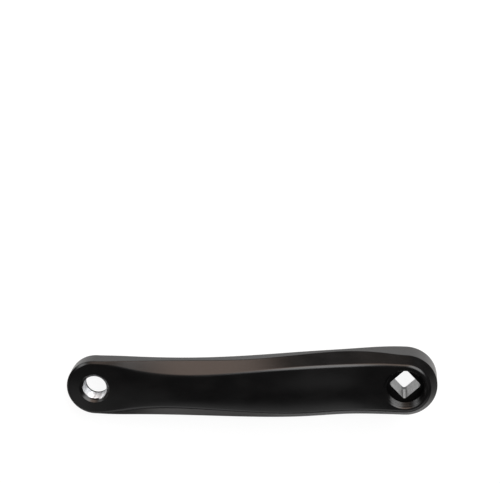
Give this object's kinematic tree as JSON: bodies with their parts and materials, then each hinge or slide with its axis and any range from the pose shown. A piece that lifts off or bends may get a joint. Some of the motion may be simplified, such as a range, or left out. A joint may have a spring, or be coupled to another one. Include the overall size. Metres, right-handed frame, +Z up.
{
  "type": "bicycle crank arm",
  "caption": "Left bicycle crank arm forged in one piece, with a square taper socket and extractor thread in its boss and a threaded pedal eye.",
  "frame": {"origin": "centre of the square socket's mouth, on the boss's back face", "axes": "+Z up, with the arm lying on its back as it comes to rest and its outer face up; +X from the spindle towards the pedal eye; the spindle axis leans 11.29 degrees from +Z towards +X"},
  "size_m": [0.2071, 0.038, 0.03],
  "materials": {
    "black_paint": "gloss black paint on forged aluminium",
    "bare_metal": "machined, bare"
  },
  "bodies": {
    "root": {"crank_arm": "black_paint"}
  },
  "joints": []
}
